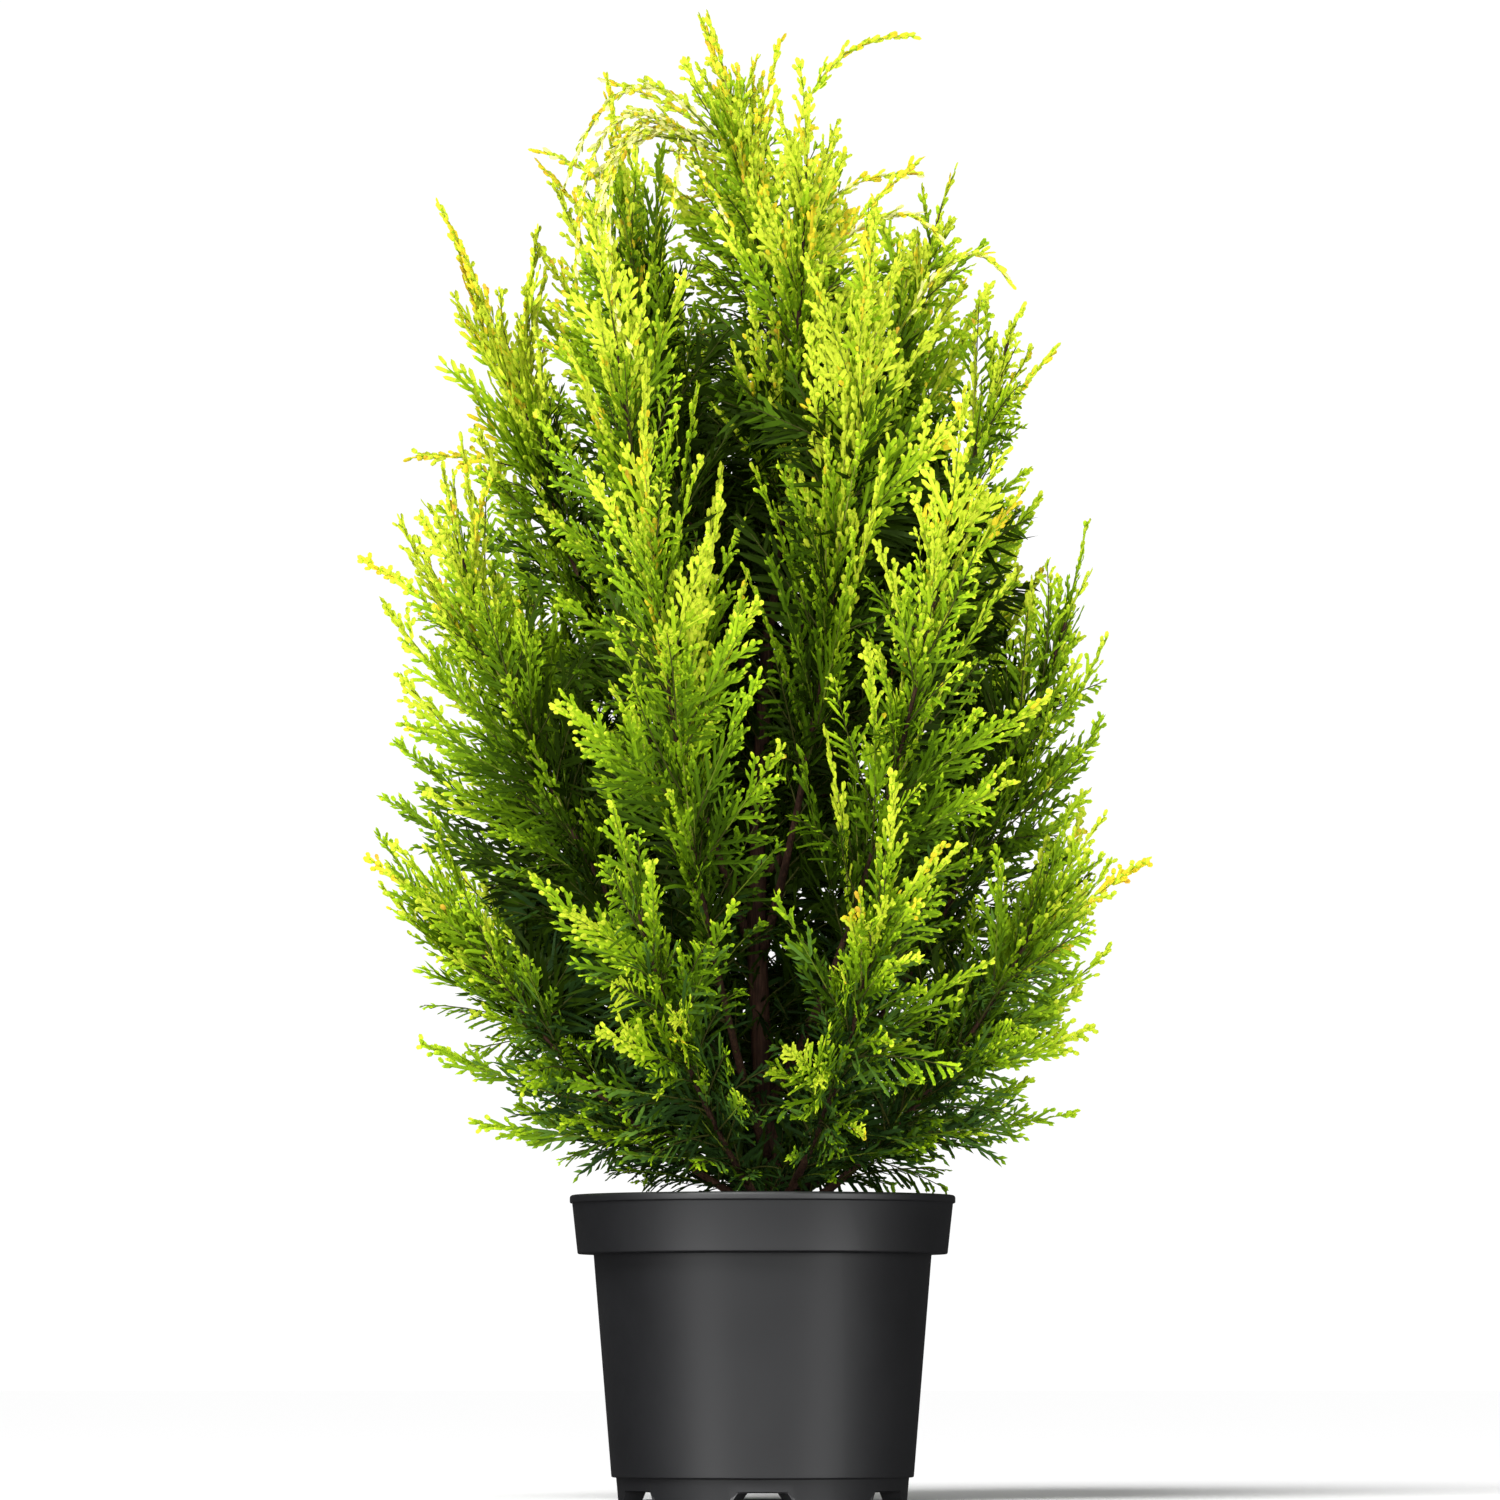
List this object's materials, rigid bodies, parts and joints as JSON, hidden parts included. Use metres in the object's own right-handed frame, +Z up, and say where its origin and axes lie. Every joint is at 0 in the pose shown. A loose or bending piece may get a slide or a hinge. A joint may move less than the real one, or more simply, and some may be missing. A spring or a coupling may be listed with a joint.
{
  "type": "potted golden conifer",
  "caption": "Young bushy conifer with flat ferny scale-leaf sprays on ascending boughs, growing in a round black plastic nursery pot filled with compost.",
  "frame": {"origin": "on the ground under the middle of the pot", "axes": "+Z is up along the pot's axis and the trunk; -Y is the front of the plant and +X its right as seen from the front"},
  "size_m": [0.3852, 0.3937, 0.737],
  "materials": {
    "pot": "satin black injection-moulded plastic",
    "compost": "rough, crumbly",
    "bark": "rough, stringy red-brown bark",
    "foliage_deep": "soft satin, deep green",
    "foliage_fresh": "soft satin, fresh green",
    "foliage_golden": "soft satin, yellow-green"
  },
  "bodies": {
    "root": {"bough_lower_1": "bark", "bough_lower_2": "bark", "bough_lower_3": "bark", "bough_lower_4": "bark", "bough_lower_5": "bark", "bough_lower_6": "bark", "bough_lower_7": "bark", "bough_middle_1": "bark", "bough_middle_2": "bark", "bough_middle_3": "bark", "bough_middle_4": "bark", "bough_middle_5": "bark", "bough_middle_6": "bark", "bough_skirt_1": "bark", "bough_skirt_2": "bark", "bough_skirt_3": "bark", "bough_skirt_4": "bark", "bough_skirt_5": "bark", "bough_skirt_6": "bark", "bough_skirt_7": "bark", "bough_skirt_8": "bark", "bough_upper_1": "bark", "bough_upper_2": "bark", "bough_upper_3": "bark", "bough_upper_4": "bark", "bough_upper_5": "bark", "compost": "compost", "foliage_leader": "foliage_golden", "foliage_lower_1": "foliage_fresh", "foliage_lower_2": "foliage_fresh", "foliage_lower_3": "foliage_fresh", "foliage_lower_4": "foliage_fresh", "foliage_lower_5": "foliage_fresh", "foliage_lower_6": "foliage_fresh", "foliage_lower_7": "foliage_fresh", "foliage_middle_1": "foliage_fresh", "foliage_middle_2": "foliage_fresh", "foliage_middle_3": "foliage_fresh", "foliage_middle_4": "foliage_fresh", "foliage_middle_5": "foliage_fresh", "foliage_middle_6": "foliage_fresh", "foliage_skirt_1": "foliage_deep", "foliage_skirt_2": "foliage_deep", "foliage_skirt_3": "foliage_deep", "foliage_skirt_4": "foliage_deep", "foliage_skirt_5": "foliage_deep", "foliage_skirt_6": "foliage_deep", "foliage_skirt_7": "foliage_deep", "foliage_skirt_8": "foliage_deep", "foliage_upper_1": "foliage_golden", "foliage_upper_2": "foliage_golden", "foliage_upper_3": "foliage_golden", "foliage_upper_4": "foliage_golden", "foliage_upper_5": "foliage_golden", "pot": "pot", "trunk": "bark"}
  },
  "joints": []
}
